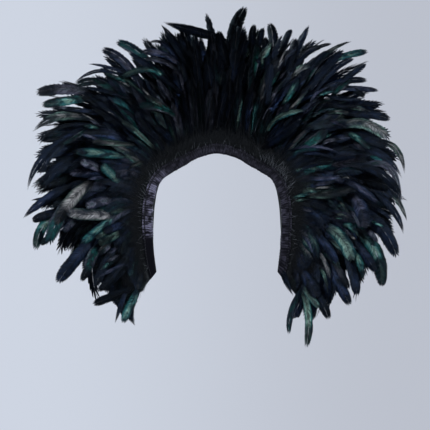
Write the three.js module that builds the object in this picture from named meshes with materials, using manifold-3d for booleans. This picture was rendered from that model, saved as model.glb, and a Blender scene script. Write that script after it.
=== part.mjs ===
// A feather shoulder cape. A stiffened cloth base in the shape of a horseshoe stands behind the neck, crosses
// each shoulder and hangs down in front of each arm. Its inner edge is bound with a gathered satin band, rows of
// rooster tail feathers are sewn to its front and back, and an elastic loop behind each front goes round the arm.
import * as THREE from "three";
import { mergeVertices } from "three/addons/utils/BufferGeometryUtils.js";
import Module from "manifold-3d";

const wasm = await Module();
wasm.setup();

// All sizes are in millimetres. x runs to the right as seen from the front, y to the back and z up. The origin
// is on the inner edge of the band at the nape.

// The inner edge of the cape from the nape (first row) to the lower end of a front (last row). The rows are the
// whole stations of u, which runs from -lastStation at the left front's end through 0 at the nape. spread is the
// way that the feathers leave, in degrees from upright, and lean is how far they lean back. reachLeft and
// reachRight are how far the longest feathers get from the edge, and droop is how many stations they sag by.
const stations = [
  { x: 0, y: 0, z: 0, spread: 0, lean: 20, reachLeft: 338, reachRight: 338, droop: 0 },
  { x: 42, y: -7, z: -10, spread: 12, lean: 18, reachLeft: 328, reachRight: 338, droop: 0.15 },
  { x: 70, y: -28, z: -27, spread: 24, lean: 14, reachLeft: 296, reachRight: 344, droop: 0.3 },
  { x: 96, y: -54, z: -43, spread: 37, lean: 10, reachLeft: 304, reachRight: 316, droop: 0.45 },
  { x: 116, y: -79, z: -58, spread: 50, lean: 6, reachLeft: 296, reachRight: 293, droop: 0.6 },
  { x: 129, y: -97, z: -83, spread: 62, lean: 3, reachLeft: 274, reachRight: 274, droop: 0.7 },
  { x: 135, y: -107, z: -112, spread: 73, lean: 1, reachLeft: 254, reachRight: 256, droop: 0.75 },
  { x: 137, y: -111, z: -141, spread: 83, lean: 0, reachLeft: 246, reachRight: 240, droop: 0.75 },
  { x: 136, y: -110, z: -171, spread: 92, lean: 0, reachLeft: 206, reachRight: 224, droop: 0.7 },
  { x: 134, y: -104, z: -213, spread: 108, lean: 0, reachLeft: 168, reachRight: 176, droop: 0.55 },
  { x: 129, y: -92, z: -256, spread: 142, lean: 0, reachLeft: 132, reachRight: 158, droop: 0.3 },
];
const lastStation = stations.length - 1;
const mirroredColumns = ["x", "spread"];

const baseWidth = 86;
const baseThickness = 1.4;
const baseInset = 5;
const sectionStep = 0.5;
const seamStation = 3;
const seamGap = 0.3;
const stationLength = 38;

const gatherHeight = 1.2;
const gatherScallop = 1.4;
const gathersPerStation = 4.5;
const unevenGather = 0.35;
const smoothFrom = -8;
const smoothFullness = 0.15;

// The section of the band between two gathers: the distance from the edge and the height over the base's middle
// of each corner, and the shares of a gather's height and scallop that move it where a gather is.
const bandSection = [
  { distance: 20, height: 2, lift: 1, swell: 0.5 },
  { distance: 10, height: 2.9, lift: 1, swell: 0 },
  { distance: 2, height: 2.5, lift: 1, swell: -1 },
  { distance: 0, height: 0, lift: 0, swell: -1 },
  { distance: 2, height: -2.5, lift: -1, swell: -1 },
  { distance: 20, height: -2, lift: -1, swell: 0.5 },
  { distance: 20, height: -1.5, lift: 0, swell: 0.5 },
  { distance: 3, height: -1.5, lift: 0, swell: 0 },
  { distance: 3, height: 1.5, lift: 0, swell: 0 },
  { distance: 20, height: 1.5, lift: 0, swell: 0.5 },
];

const curlStart = 95;
const curl = 0.0007;
const stripWidth = 8;
const stripThickness = 1.2;
const stripGap = 0.8;
const rowMargin = 0.15;
const rootHalf = 0.06;
const featherThickness = 1.2;
const sagPower = 1.7;
const unevenTilt = 1.2;
const unevenLength = 0.08;
const unevenTurn = 0.13;

const loopWidth = 20;
const loopThickness = 1.6;
const loopDepth = 150;
const loopEnds = { top: 3.5, bottom: 9.0 };
const loopDistance = 13;
const loopHeight = -5.4;
const loopSections = 26;
const loopRoundness = { middle: 2.8, ends: 1.7 };

// The rows of feathers. root is the distance of the row's strip from the edge, tip is the share of the reach at
// which its feathers end, tilt is the angle at which they leave the base, to the front or to the back, and
// perSide is how many stand between the nape and the end of the row, which is at station end.
const rows = [
  { name: "feathers_front_1", face: 1, root: 27, tip: 0.47, tilt: 24, perSide: 16, end: 9.9, width: 19 },
  { name: "feathers_front_2", face: 1, root: 43, tip: 0.66, tilt: 18, perSide: 18, end: 9.8, width: 22 },
  { name: "feathers_front_3", face: 1, root: 59, tip: 0.84, tilt: 11.6, perSide: 20, end: 9.9, width: 24 },
  { name: "feathers_front_4", face: 1, root: 76, tip: 1, tilt: 3.5, perSide: 22, end: 9.8, width: 25 },
  { name: "feathers_back_3", face: -1, root: 74, tip: 0.94, tilt: 5, perSide: 18, end: 9.5, width: 24 },
  { name: "feathers_back_2", face: -1, root: 52, tip: 0.72, tilt: 14, perSide: 11, end: 5.4, width: 23 },
  { name: "feathers_back_1", face: -1, root: 30, tip: 0.5, tilt: 24, perSide: 10, end: 5.2, width: 20 },
];

// The outline of one feather: how wide it is, as a share of its row's width, along its length.
const featherOutline = [
  { along: 0.28, width: 0.7 },
  { along: 0.6, width: 1 },
  { along: 0.88, width: 0.86 },
  { along: 1, width: 0.3 },
];

const black = { feather: 0x0d1117, satin: 0x1b181e, cloth: 0x101013, elastic: 0x151317 };

// The value of every column at a place u, by a smooth curve through the rows of the stations. Past the last
// station the columns run straight on.
function stationAt(u) {
  const side = u < 0 ? -1 : 1;
  const place = Math.abs(u);
  const row = Math.floor(place);
  const t = place - row;
  const value = {};
  for (const column of Object.keys(stations[0])) {
    const odd = mirroredColumns.includes(column);
    const last = stations[lastStation][column];
    const at = (i) => {
      if (i < 0) return (odd ? -1 : 1) * stations[-i][column];
      if (i > lastStation) return last + (i - lastStation) * (last - stations[lastStation - 1][column]);
      return stations[i][column];
    };
    const [a, b, c, d] = [at(row - 1), at(row), at(row + 1), at(row + 2)];
    const bend = (2 * a - 5 * b + 4 * c - d) * t * t + (3 * b - a - 3 * c + d) * t * t * t;
    value[column] = (odd ? side : 1) * 0.5 * (2 * b + (c - a) * t + bend);
  }
  return value;
}

// The edge at u, with the direction along it, the direction out to the feathers' tips, and the base's front face.
function frameAt(u) {
  const here = stationAt(u);
  const spread = THREE.MathUtils.degToRad(here.spread);
  const lean = THREE.MathUtils.degToRad(here.lean);
  const nudge = 0.02;
  const ahead = stationAt(u + nudge);
  const behind = stationAt(u - nudge);
  const along = new THREE.Vector3(ahead.x - behind.x, ahead.y - behind.y, ahead.z - behind.z).normalize();
  const out = new THREE.Vector3(
    Math.sin(spread) * Math.cos(lean),
    Math.sin(lean),
    Math.cos(spread) * Math.cos(lean),
  );
  const face = along.clone().cross(out).normalize();
  const edge = new THREE.Vector3(here.x, here.y, here.z);
  return { edge, along, out, face, reach: u < 0 ? here.reachLeft : here.reachRight, droop: here.droop };
}

// The point at a distance from the edge and at a height over the base's middle, to the front if positive. Past
// the base the whole fan curls back.
function pointAt(frame, distance, height) {
  const back = curl * Math.max(0, distance - curlStart) ** 2;
  return frame.edge.clone().addScaledVector(frame.out, distance).addScaledVector(frame.face, height - back);
}

// An uneven number from -1 to 1 that is always the same for the same feather and purpose.
function uneven(index, purpose) {
  const wave = Math.sin(index * 12.9898 + purpose * 78.233) * 43758.5453;
  return 2 * (wave - Math.floor(wave)) - 1;
}

// A closed solid from its corners and its triangles, with its faces pointing out whichever way round they were.
function closedSolid(corners, faces) {
  const geometry = new THREE.BufferGeometry().setFromPoints(corners);
  geometry.setIndex(faces.flat());
  const merged = mergeVertices(geometry, 1e-4);
  const vertices = new Float32Array(merged.attributes.position.array);
  const triangles = new Uint32Array(merged.index.array);
  const corner = (i) => new THREE.Vector3().fromArray(vertices, 3 * triangles[i]);
  let volume = 0;
  for (let i = 0; i < triangles.length; i += 3) {
    volume += corner(i).dot(corner(i + 1).cross(corner(i + 2)));
  }
  if (volume < 0) triangles.reverse();
  return new wasm.Manifold(new wasm.Mesh({ numProp: 3, vertProperties: vertices, triVerts: triangles }));
}

// The triangles of the walls between one ring of corners and the next, given by the corners' numbers.
function walls(ring, next) {
  return ring.flatMap((corner, i) => {
    const other = (i + 1) % ring.length;
    return [
      [corner, ring[other], next[other]],
      [corner, next[other], next[i]],
    ];
  });
}

// A closed solid through rings of points that run round in the same order. The cap's triangles close both ends.
function loft(rings, cap) {
  const around = rings[0].length;
  const numbers = rings.map((ring, i) => ring.map((_, j) => i * around + j));
  const faces = numbers.slice(1).flatMap((ring, i) => walls(numbers[i], ring));
  const last = numbers.at(-1);
  for (const [a, b, c] of cap) {
    faces.push([a, c, b], [last[a], last[b], last[c]]);
  }
  return closedSolid(rings.flat(), faces);
}

const squareCap = [
  [0, 1, 2],
  [0, 2, 3],
];

// Evenly spaced places from one to another, both included.
function places(from, to, step) {
  const count = Math.max(1, Math.round(Math.abs(to - from) / step));
  return Array.from({ length: count + 1 }, (_, i) => from + ((to - from) * i) / count);
}

// The sections of cloth between two places: both ends, and the whole steps of u between them, so that all the
// layers have their sections at the same places and stay parallel.
function sections(from, to) {
  const first = Math.floor(from / sectionStep) + 1;
  const last = Math.ceil(to / sectionStep) - 1;
  return [from, ...places(first * sectionStep, last * sectionStep, sectionStep), to];
}

// A flat strip along the edge: a wall between two heights whose corners lie at the given distances.
function strip(from, to, distances, low, high) {
  const across = distances.length;
  const rings = sections(from, to).map((u) => {
    const frame = frameAt(u);
    const under = distances.map((distance) => pointAt(frame, distance, low));
    const over = distances.map((distance) => pointAt(frame, distance, high));
    return [...under, ...over.reverse()];
  });
  const cap = [];
  for (let i = 0; i + 1 < across; i++) {
    const above = 2 * across - 1 - i;
    cap.push([i, i + 1, above - 1], [i, above - 1, above]);
  }
  return loft(rings, cap);
}

// One panel of the base cloth. Its inner edge lies inside the band.
function basePanel(from, to) {
  const distances = places(baseInset, baseWidth, baseWidth / 3);
  return strip(from, to, distances, -baseThickness / 2, baseThickness / 2);
}

// How full the gathers are. The satin lies nearly smooth at the lower end of the left front.
function fullness(u) {
  return u < smoothFrom ? smoothFullness : 1;
}

// One length of the band: satin folded over the base's inner edge, with its outer face raised into gathers.
function bandLength(from, to) {
  const rings = places(from, to, 0.5 / gathersPerStation).map((u, i) => {
    const frame = frameAt(u);
    const raised = i % 2 ? fullness(u) * (1 + unevenGather * uneven(i, from)) : 0;
    return bandSection.map(({ distance, height, lift, swell }) =>
      pointAt(frame, distance + gatherScallop * swell * raised, height + gatherHeight * lift * raised),
    );
  });
  const section = bandSection.map(({ distance, height }) => new THREE.Vector2(distance, height));
  return loft(rings, THREE.ShapeUtils.triangulateShape(section, []));
}

// The places of one row's feathers along the edge.
function rootsOf(row) {
  const end = row.end - rowMargin;
  return places(-end, end, end / row.perSide);
}

// Where one feather is at a share of its length: the point on its middle line and the base's face there.
function featherPlace(u, row, index, share) {
  const side = u < 0 ? -1 : 1;
  const own = frameAt(u);
  const start = row.root + stripWidth / 2;
  const tip = own.reach * row.tip * (1 + unevenLength * uneven(index, row.root));
  const run = (tip - start) * share;
  const sag = side * own.droop * row.tip * share ** sagPower;
  const turn = unevenTurn * uneven(index, row.root + 1) * share;
  const tilt = THREE.MathUtils.degToRad(row.tilt + (index % 2 ? unevenTilt : -unevenTilt));
  const height = baseThickness / 2 + stripGap + stripThickness / 2 + Math.tan(tilt) * run;
  const frame = frameAt(u + sag + turn);
  return { point: pointAt(frame, start + run, row.face * height), face: frame.face };
}

// The four corners of one feather's blade at each point of its outline, from its root to its tip.
function featherRings(u, row, index) {
  const nudge = 0.02;
  return featherOutline.map(({ along, width }) => {
    const { point, face } = featherPlace(u, row, index, along);
    const ahead = featherPlace(u, row, index, along + nudge).point;
    const behind = featherPlace(u, row, index, along - nudge).point;
    const heading = ahead.sub(behind).normalize();
    const across = heading.clone().cross(face).normalize();
    const up = across.clone().cross(heading);
    const half = (width * row.width) / 2;
    const thick = featherThickness / 2;
    const corner = (a, b) =>
      point
        .clone()
        .addScaledVector(across, a * half)
        .addScaledVector(up, b * thick);
    return [corner(-1, -1), corner(-1, 1), corner(1, 1), corner(1, -1)];
  });
}

// One row: its strip lies on the base, and each feather grows out of the strip's outer side.
function featherRow(row) {
  const middle = row.face * (baseThickness / 2 + stripGap + stripThickness / 2);
  const near = row.root - stripWidth / 2;
  const far = row.root + stripWidth / 2;
  const roots = rootsOf(row);
  const cuts = [-row.end, ...roots.flatMap((u) => [u - rootHalf, u + rootHalf]), row.end];
  const corners = cuts.flatMap((u) => {
    const frame = frameAt(u);
    return [
      pointAt(frame, near, middle - stripThickness / 2),
      pointAt(frame, far, middle - stripThickness / 2),
      pointAt(frame, far, middle + stripThickness / 2),
      pointAt(frame, near, middle + stripThickness / 2),
    ];
  });
  const faces = [];
  for (let cut = 0; cut + 1 < cuts.length; cut++) {
    const here = [0, 1, 2, 3].map((i) => 4 * cut + i);
    const next = here.map((i) => i + 4);
    const around = walls(here, next);
    const outerSide = around.splice(2, 2);
    faces.push(...around);
    if (cut % 2 === 0) {
      faces.push(...outerSide);
      continue;
    }
    let ring = [here[1], here[2], next[2], next[1]];
    for (const blade of featherRings(roots[(cut - 1) / 2], row, (cut - 1) / 2)) {
      const grown = blade.map((_, i) => corners.length + i);
      corners.push(...blade);
      faces.push(...walls(ring, grown));
      ring = grown;
    }
    faces.push([ring[0], ring[1], ring[2]], [ring[0], ring[2], ring[3]]);
  }
  const last = 4 * (cuts.length - 1);
  faces.push([0, 2, 1], [0, 3, 2], [last, last + 1, last + 2], [last, last + 2, last + 3]);
  return closedSolid(corners, faces);
}

// The elastic loop of one arm: a flat ribbon that lies on the back of the band at both ends and bows back between
// them, so that the arm goes through behind the front.
function armLoop(side) {
  const frames = places(loopEnds.bottom, loopEnds.top, (loopEnds.bottom - loopEnds.top) / loopSections).map((u) =>
    frameAt(side * u),
  );
  const middles = frames.map((frame, i) => {
    const fromMiddle = Math.abs((2 * i) / loopSections - 1);
    const bow = (1 - fromMiddle ** loopRoundness.middle) ** loopRoundness.ends;
    return pointAt(frame, loopDistance, loopHeight).add(new THREE.Vector3(0, loopDepth * bow, 0));
  });
  const rings = middles.map((middle, i) => {
    const ahead = middles[Math.min(i + 1, loopSections)];
    const behind = middles[Math.max(i - 1, 0)];
    const along = ahead.clone().sub(behind).normalize();
    const across = frames[i].out.clone().addScaledVector(along, -along.dot(frames[i].out)).normalize();
    const up = along.clone().cross(across);
    const corner = (a, b) =>
      middle
        .clone()
        .addScaledVector(across, (a * loopWidth) / 2)
        .addScaledVector(up, (b * loopThickness) / 2);
    return [corner(-1, -1), corner(-1, 1), corner(1, 1), corner(1, -1)];
  });
  return loft(rings, squareCap);
}

const cape = new THREE.Group();

// A named piece of the cape in its own material.
function piece(name, solid, color, roughness, metalness) {
  const mesh = solid.getMesh();
  const geometry = new THREE.BufferGeometry();
  geometry.setAttribute("position", new THREE.BufferAttribute(mesh.vertProperties, 3));
  geometry.setIndex(new THREE.BufferAttribute(mesh.triVerts, 1));
  const made = new THREE.Mesh(geometry, new THREE.MeshStandardMaterial({ color, roughness, metalness }));
  made.name = name;
  cape.add(made);
}

const seam = seamGap / 2 / stationLength;
const lengths = [
  { side: "left", from: -lastStation, to: -seamStation - seam },
  { side: "nape", from: -seamStation + seam, to: seamStation - seam },
  { side: "right", from: seamStation + seam, to: lastStation },
];
for (const { side, from, to } of lengths) {
  piece(`base_${side}`, basePanel(from, to), black.cloth, 0.9, 0);
  piece(`band_${side}`, bandLength(from, to), black.satin, 0.35, 0);
}
for (const row of rows) {
  piece(row.name, featherRow(row), black.feather, 0.4, 0.3);
}
piece("arm_loop_left", armLoop(-1), black.elastic, 0.7, 0);
piece("arm_loop_right", armLoop(1), black.elastic, 0.7, 0);

export default cape;
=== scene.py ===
import math

import bmesh
import bpy
import mathutils
import numpy as np
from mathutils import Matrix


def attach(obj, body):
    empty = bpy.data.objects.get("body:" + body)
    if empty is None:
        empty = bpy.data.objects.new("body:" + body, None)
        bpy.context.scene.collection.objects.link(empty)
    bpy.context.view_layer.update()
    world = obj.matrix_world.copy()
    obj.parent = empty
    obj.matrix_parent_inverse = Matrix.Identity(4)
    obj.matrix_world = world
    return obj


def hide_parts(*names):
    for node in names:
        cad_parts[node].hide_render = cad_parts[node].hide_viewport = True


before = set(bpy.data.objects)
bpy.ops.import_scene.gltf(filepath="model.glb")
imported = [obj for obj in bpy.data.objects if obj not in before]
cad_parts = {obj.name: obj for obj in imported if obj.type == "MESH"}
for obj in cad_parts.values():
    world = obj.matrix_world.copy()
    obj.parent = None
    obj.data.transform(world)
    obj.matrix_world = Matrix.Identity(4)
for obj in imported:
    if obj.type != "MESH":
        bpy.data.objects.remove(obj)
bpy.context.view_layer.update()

# The camera stands level in front of the cape, three metres off, and its long lens takes in the whole fan
# of feathers with a little air round it.
CAMERA_PLACE = (-0.0043, -3.06, -0.1355)
CAMERA_LENS = 116.8
CAMERA_SENSOR = 36.0

camera = bpy.data.objects.new("camera", bpy.data.cameras.new("camera"))
bpy.context.scene.collection.objects.link(camera)
camera.location = CAMERA_PLACE
camera.rotation_euler = (math.radians(90), 0, 0)
camera.data.sensor_width = CAMERA_SENSOR
camera.data.lens = CAMERA_LENS
camera.data.clip_end = 50
bpy.context.scene.camera = camera

# The base is three panels of black stiffened cloth, left front, nape and right front, in the shape of a
# horseshoe. Its inner edge goes into the band, and the strips of feathers are sewn to both of its faces.
# The shape of the whole cape is given here, by stations from the nape (first value) to the lower end of a
# front (last value).
STATIONS = {
    "x": (0, 0.042, 0.070, 0.096, 0.116, 0.129, 0.135, 0.137, 0.136, 0.134, 0.129),
    "y": (0, -0.007, -0.028, -0.054, -0.079, -0.097, -0.107, -0.111, -0.110, -0.104, -0.092),
    "z": (0, -0.010, -0.027, -0.043, -0.058, -0.083, -0.112, -0.141, -0.171, -0.213, -0.256),
    "spread": (0, 12, 24, 37, 50, 62, 73, 83, 92, 108, 142),
    "lean": (20, 18, 14, 10, 6, 3, 1, 0, 0, 0, 0),
    "reach_left": (0.338, 0.328, 0.296, 0.304, 0.296, 0.274, 0.254, 0.246, 0.206, 0.168, 0.132),
    "reach_right": (0.338, 0.338, 0.344, 0.316, 0.293, 0.274, 0.256, 0.240, 0.224, 0.176, 0.158),
    "droop": (0, 0.15, 0.3, 0.45, 0.6, 0.7, 0.75, 0.75, 0.7, 0.55, 0.3),
}
MIRRORED = ("x", "spread")
LAST_STATION = 10
STATION_LENGTH = 0.038
CURL_START = 0.095
CURL = 0.7
NUDGE = 0.02

BASE_FROM = 0.006
BASE_TO = 0.086
BASE_WALL = 0.0009
BASE_RIPPLE = 0.0003
HEM_RIPPLE = 0.0016
LOOSE_FROM = 0.08
PANEL_STEPS = 12
PANEL_ROWS = 22
SEAM_STATION = 3
SEAM = 0.004
PANELS = {
    "left": (-LAST_STATION, -SEAM_STATION - SEAM),
    "nape": (-SEAM_STATION + SEAM, SEAM_STATION - SEAM),
    "right": (SEAM_STATION + SEAM, LAST_STATION),
}
CLOTH_THREADS = 4200.0
CLOTH_SHADES = ((0.006, 0.006, 0.008, 1), (0.015, 0.015, 0.018, 1))


def station_at(u, column):
    """A column's value at each place u: a smooth curve through its stations, straight on past the last."""
    values = np.array(STATIONS[column], float)
    sign = -1 if column in MIRRORED else 1
    place = np.abs(u)
    row = np.floor(place).astype(int)
    t = place - row

    def at(i):
        inside = values[np.clip(np.abs(i), 0, LAST_STATION)] * np.where(i < 0, sign, 1)
        past = values[-1] + (i - LAST_STATION) * (values[-1] - values[-2])
        return np.where(i > LAST_STATION, past, inside)

    a, b, c, d = at(row - 1), at(row), at(row + 1), at(row + 2)
    bend = (2 * a - 5 * b + 4 * c - d) * t**2 + (3 * b - a - 3 * c + d) * t**3
    value = 0.5 * (2 * b + (c - a) * t + bend)
    return value * np.where(u < 0, sign, 1)


def unit(vectors):
    return vectors / np.linalg.norm(vectors, axis=-1, keepdims=True)


def edge_at(u):
    return np.stack([station_at(u, "x"), station_at(u, "y"), station_at(u, "z")], -1)


def frame_at(u):
    """The edge at each place u, the direction out to the tips, and the front face of the cape there."""
    spread, lean = np.radians(station_at(u, "spread")), np.radians(station_at(u, "lean"))
    along = unit(edge_at(u + NUDGE) - edge_at(u - NUDGE))
    out = np.stack([np.sin(spread) * np.cos(lean), np.sin(lean), np.cos(spread) * np.cos(lean)], -1)
    return edge_at(u), out, unit(np.cross(along, out))


def point_at(u, distance, height):
    """The point at a distance from the edge and a height over the base's middle, to the front if positive."""
    edge, out, face = frame_at(u)
    back = CURL * np.maximum(0, distance - CURL_START) ** 2
    return edge + out * distance[..., None] + face * (height - back)[..., None]


def uneven(index, purpose):
    """An uneven number from -1 to 1 that is always the same for the same feather and purpose."""
    wave = np.sin(index * 12.9898 + purpose * 78.233) * 43758.5453
    return 2 * (wave - np.floor(wave)) - 1


def chance_at(index, purpose):
    """The same kind of number, but from 0 to 1."""
    return 0.5 + 0.5 * uneven(index, purpose)


def smooth_noise(x, y, purpose):
    """Soft noise from -1 to 1 over a plane, with bumps one unit apart."""
    row, column = np.floor(x), np.floor(y)
    s, t = x - row, y - column
    s, t = s * s * (3 - 2 * s), t * t * (3 - 2 * t)

    def corner(i, j):
        return uneven((row + i) * 7.31 + (column + j) * 131.7, purpose)

    low = corner(0, 0) * (1 - s) + corner(1, 0) * s
    high = corner(0, 1) * (1 - s) + corner(1, 1) * s
    return low * (1 - t) + high * t


def set_inputs(tree, node, values):
    """Joins each named input to another node's output, or gives it a value."""
    for name, value in values.items():
        if isinstance(value, bpy.types.NodeSocket):
            tree.links.new(value, node.inputs[name])
        else:
            node.inputs[name].default_value = value


def add_node(tree, kind, values, **settings):
    made = tree.nodes.new("ShaderNode" + kind)
    for name, value in settings.items():
        setattr(made, name, value)
    set_inputs(tree, made, values)
    return made


def calc(tree, operation, *values):
    """The output of one math node."""
    return add_node(tree, "Math", dict(enumerate(values)), operation=operation).outputs[0]


def product(tree, first, *others):
    for other in others:
        first = calc(tree, "MULTIPLY", first, other)
    return first


def ramp_to(tree, value, low, high, start=0.0, end=1.0):
    """A value that goes smoothly from start to end as another goes from low to high."""
    span = {"Value": value, "From Min": low, "From Max": high, "To Min": start, "To Max": end}
    return add_node(tree, "MapRange", span, interpolation_type="SMOOTHSTEP").outputs["Result"]


def blend_colours(tree, share, first, second):
    """A colour between two others. The node's colour sockets share names, so they go by number."""
    return add_node(tree, "Mix", {0: share, 6: first, 7: second}, data_type="RGBA").outputs[2]


def xyz(tree, vector):
    return add_node(tree, "SeparateXYZ", {"Vector": vector}).outputs


def uv_place(tree, name):
    return add_node(tree, "UVMap", {}, uv_map=name).outputs["UV"]


def object_place(tree):
    return add_node(tree, "TexCoord", {}).outputs["Object"]


def noise(tree, place, scale, detail, roughness=0.5):
    """The value of a noise texture, which is about 0.5."""
    values = {"Vector": place, "Scale": scale, "Detail": detail, "Roughness": roughness}
    return add_node(tree, "TexNoise", values).outputs["Fac"]


def node_group(name, inputs, outputs):
    """An empty shader node group with named sockets, and the nodes' ends of its inputs and outputs."""
    tree = bpy.data.node_groups.new(name, "ShaderNodeTree")
    for socket, kind in inputs.items():
        tree.interface.new_socket(socket, in_out="INPUT", socket_type="NodeSocket" + kind)
    for socket, kind in outputs.items():
        tree.interface.new_socket(socket, in_out="OUTPUT", socket_type="NodeSocket" + kind)
    return tree, tree.nodes.new("NodeGroupInput").outputs, tree.nodes.new("NodeGroupOutput")


def place_group(tree, group, values):
    made = add_node(tree, "Group", {}, node_tree=group)
    set_inputs(tree, made, values)
    return made.outputs


def new_material(name):
    """A material with only its Principled shader, returned with the material's nodes."""
    material = bpy.data.materials.new(name)
    material.use_nodes = True
    tree = material.node_tree
    return material, tree, tree.nodes["Principled BSDF"]


def bump(tree, height, strength, distance):
    values = {"Height": height, "Strength": strength, "Distance": distance}
    return add_node(tree, "Bump", values).outputs["Normal"]


def mesh_piece(name, points, faces):
    """A smooth object through points, with its place in its mesh."""
    mesh = bpy.data.meshes.new(name)
    mesh.from_pydata(points.reshape(-1, 3).tolist(), [], faces)
    mesh.polygons.foreach_set("use_smooth", [True] * len(mesh.polygons))
    piece = bpy.data.objects.new(name, mesh)
    bpy.context.scene.collection.objects.link(piece)
    return piece


def map_surface(piece, name, uv):
    """A UV map that gives each point of the mesh its place on the flat piece."""
    mesh = piece.data
    corners = np.zeros(len(mesh.loops), int)
    mesh.loops.foreach_get("vertex_index", corners)
    mesh.uv_layers.new(name=name).uv.foreach_set("vector", uv.reshape(-1, 2)[corners].ravel())


def cloth_piece(name, points, maps, thickness):
    """A sheet of cloth through a grid of points, with its UV maps, thickened evenly to both sides."""
    rows, columns = points.shape[:2]
    number = np.arange(rows * columns).reshape(rows, columns)
    quads = np.stack([number[:-1, :-1], number[:-1, 1:], number[1:, 1:], number[1:, :-1]], -1)
    piece = mesh_piece(name, points, quads.reshape(-1, 4).tolist())
    for map_name, uv in maps.items():
        map_surface(piece, map_name, uv)
    wall = piece.modifiers.new("wall", "SOLIDIFY")
    wall.thickness = thickness
    wall.offset = 0
    bpy.ops.object.select_all(action="DESELECT")
    bpy.context.view_layer.objects.active = piece
    bpy.ops.object.modifier_apply(modifier="wall")
    return piece


def dress(piece, material, slot, *nodes):
    """The piece gets its finish, goes with the cape, and hides the CAD nodes it takes the place of."""
    piece.data.materials.append(material)
    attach(piece, "root")
    if nodes:
        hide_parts(*nodes)


def length_of(line):
    return float(np.linalg.norm(np.diff(line, axis=0), axis=1).sum())


weave, weave_in, weave_out = node_group(
    "weave", {"Place": "Vector", "Warp": "Float", "Weft": "Float"}, {"Height": "Float"}
)
weave_place = xyz(weave, weave_in["Place"])
warp_wave = calc(weave, "SINE", product(weave, weave_place["X"], weave_in["Warp"]))
weft_wave = calc(weave, "SINE", product(weave, weave_place["Y"], weave_in["Weft"]))
crossing = calc(weave, "MULTIPLY_ADD", product(weave, warp_wave, weft_wave), 0.5, 0.5)
set_inputs(weave, weave_out, {"Height": crossing})


def woven(tree, place, warp, weft):
    """The height of a weave at a place on the flat cloth, by its threads' waves in radians to a metre."""
    return place_group(tree, weave, {"Place": place, "Warp": warp, "Weft": weft})["Height"]


stiff_cloth, tree, shader = new_material("stiff_black_cloth")
cloth_place = uv_place(tree, "cloth")
threads = woven(tree, cloth_place, CLOTH_THREADS, CLOTH_THREADS)
fading = noise(tree, cloth_place, 22.0, 3.0)
finish = {
    "Base Color": blend_colours(tree, fading, *CLOTH_SHADES),
    "Roughness": ramp_to(tree, fading, 0.3, 0.7, 0.82, 0.95),
    "Normal": bump(tree, threads, 0.5, 0.0002),
    "Sheen Weight": 0.15,
}
set_inputs(tree, shader, finish)

for side, (first, last) in PANELS.items():
    u, distance = np.meshgrid(
        np.arange(first, last + SEAM, (last - first) / round((last - first) * PANEL_STEPS)),
        np.linspace(BASE_FROM, BASE_TO, PANEL_ROWS),
        indexing="ij",
    )
    loose = np.clip((distance - LOOSE_FROM) / (BASE_TO - LOOSE_FROM), 0, 1) ** 2
    ripple = (BASE_RIPPLE + HEM_RIPPLE * loose) * smooth_noise(u * 2.1, distance * 30, 3)
    flat_place = np.stack([u * STATION_LENGTH, distance], -1)
    panel = cloth_piece(f"cloth_{side}", point_at(u, distance, ripple), {"cloth": flat_place}, BASE_WALL)
    dress(panel, stiff_cloth, "cloth", f"base_{side}")
    middle = point_at(*(grid[:, PANEL_ROWS // 2] for grid in (u, distance, ripple)))

# The band is a strip of dark aubergine satin, gathered on two rows of stitching and folded over the base's
# inner edge, left front, nape and right front. The lower end of the left front lies nearly smooth.
BAND_WIDTH = 0.0205
BAND_HEIGHT = 0.0023
BAND_SWELL = 0.0006
BAND_WALL = 0.0005
GATHER_HEIGHT = 0.0029
GATHERS_PER_STATION = 7
GATHER_FULLNESS = 1.25
SMOOTH_FROM = -8.2
SMOOTH_OVER = 0.35
SMOOTH_FULLNESS = 0.14
FOLD_RIPPLE = 0.0019
HEM_RIPPLE_OUT = 0.0010
# Painted light along the band, by place u: the satin's painted highlight is strongest on the left front, and
# the nape and the right front get painted shade.
PAINTED_LIGHT_ALONG_BAND = {
    "u": (-10, -8.4, -7.8, -4.6, -3.2, 3.2, 4.6, 7.0, 10),
    "share": (0.4, 0.42, 1.25, 1.25, 0.16, 0.14, 0.22, 0.34, 0.12),
}
STITCH_DISTANCE = 0.0172
STITCH_REACH = 0.001
STITCH_DEPTH = 0.75
END_PRESS = 0.12
BAND_STEPS = 64
BAND_ROWS = 23
SATIN_WARP = 9000.0
SATIN_WEFT = 2600.0
SATIN_CREASES = 260.0
# The satin's colour runs from painted shade in the grooves of the gathers to a painted lilac highlight on
# their ridges.
SATIN_SHADE_TO_HIGHLIGHT = ((0.0010, 0.0008, 0.0016, 1), (0.1750, 0.1540, 0.2150, 1))


def gathers(u, across):
    """How high the gathers stand, from 0 to 1. across runs from the front hem at -1 to the back hem at 1."""
    shift = 0.5 * smooth_noise(u * 3.3, across * 1.4, 12) + 0.3 * smooth_noise(u * 8, across * 3.4, 14)
    main = np.abs(np.sin(np.pi * (u * GATHERS_PER_STATION + shift))) ** 0.8
    fine = np.abs(np.sin(np.pi * (u * GATHERS_PER_STATION * 1.83 + 1.7 * shift))) ** 0.7
    strength = 0.66 + 0.34 * smooth_noise(u * 6, across * 3.1, 13)
    smooth_end = np.clip((u - SMOOTH_FROM) / SMOOTH_OVER + 1, SMOOTH_FULLNESS, 1)
    return smooth_end * strength * (0.66 * main + 0.34 * fine)


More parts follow.
